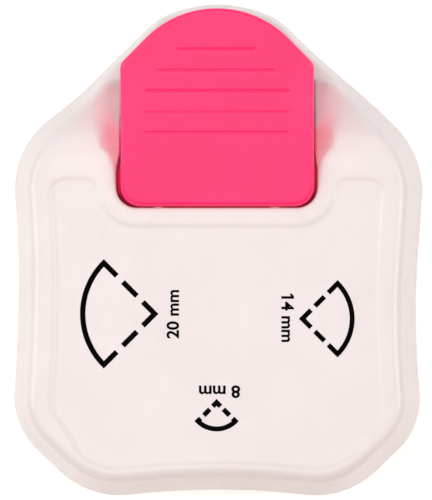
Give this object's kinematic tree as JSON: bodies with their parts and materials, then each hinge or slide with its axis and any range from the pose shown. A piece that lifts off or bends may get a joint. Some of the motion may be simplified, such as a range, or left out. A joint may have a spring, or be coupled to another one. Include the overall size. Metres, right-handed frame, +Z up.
{
  "type": "corner rounder",
  "caption": "Desktop paper corner rounder: eight-sided body, printed radius symbols, thin paper slots on three sides, and a ribbed rear lever that drives punches through a steel die.",
  "frame": {"origin": "centre of the footprint, on the table plane under the feet", "axes": "+Z up, +Y towards the pressing end of the lever (rear), +X to the right when the 8 mm slot faces the user"},
  "size_m": [0.1066, 0.1288, 0.0537],
  "materials": {
    "white_abs": "satin injection-moulded white",
    "grey_abs": "fine-textured light grey",
    "pink_abs": "satin injection-moulded hot pink",
    "black_ink": "pad-printed black ink",
    "ground_tool_steel": "surface-ground hardened steel",
    "zinc_steel": "zinc-plated pressed steel",
    "polished_steel": "polished pin stock",
    "spring_steel": "drawn spring wire",
    "screw_steel": "zinc-plated",
    "bronze": "oil-filled sintered bronze",
    "nylon_natural": "natural nylon",
    "rubber_black": "matte"
  },
  "bodies": {
    "housing": {"base_shell": "white_abs", "bottom_plate": "white_abs", "top_cover": "white_abs", "door_hinge_pin": "polished_steel", "rubber_feet": "rubber_black", "die_plate": "ground_tool_steel", "fence_plate": "zinc_steel", "guide_plate": "zinc_steel", "guide_post_left": "polished_steel", "guide_post_right": "polished_steel", "guide_post_rear": "polished_steel", "return_spring_left": "spring_steel", "return_spring_right": "spring_steel", "return_spring_rear": "spring_steel", "plate_screws": "screw_steel", "housing_screws": "screw_steel", "bracket_screws": "screw_steel", "pivot_bracket_left": "zinc_steel", "pivot_bracket_right": "zinc_steel", "lever_pivot_pin": "polished_steel", "pivot_clips": "spring_steel"},
    "lever": {"thumb_lever": "pink_abs", "lever_frame": "zinc_steel", "press_pin": "polished_steel", "lever_bushes": "nylon_natural", "lever_screws": "screw_steel"},
    "carrier": {"punch_carrier": "zinc_steel", "carrier_bushes": "bronze", "wear_pad": "nylon_natural", "punch_screws": "screw_steel", "punch_20mm": "ground_tool_steel", "punch_14mm": "ground_tool_steel", "punch_8mm": "ground_tool_steel"},
    "waste_door": {"waste_door": "grey_abs"}
  },
  "joints": [
    {"name": "lever_hinge", "type": "hinge", "parent": "housing", "child": "lever", "pos_m": [0, -0.048, 0.0354], "axis": [-1, 0, 0], "range_deg": [0, 8.6]},
    {"name": "carrier_slide", "type": "slide", "parent": "housing", "child": "carrier", "axis": [0, 0, -1], "range_m": [0, 0.00421], "stiffness_N_per_m": 900, "springref_m": -0.003, "deforming": ["return_spring_left", "return_spring_right", "return_spring_rear"]},
    {"name": "waste_door_hinge", "type": "hinge", "parent": "housing", "child": "waste_door", "pos_m": [0, 0.018, 0.0028], "axis": [1, 0, 0], "range_deg": [0, 95]}
  ],
  "couplings": [
    {"joint": "carrier_slide", "follows": "lever_hinge", "m_per_rad": 0.028}
  ]
}
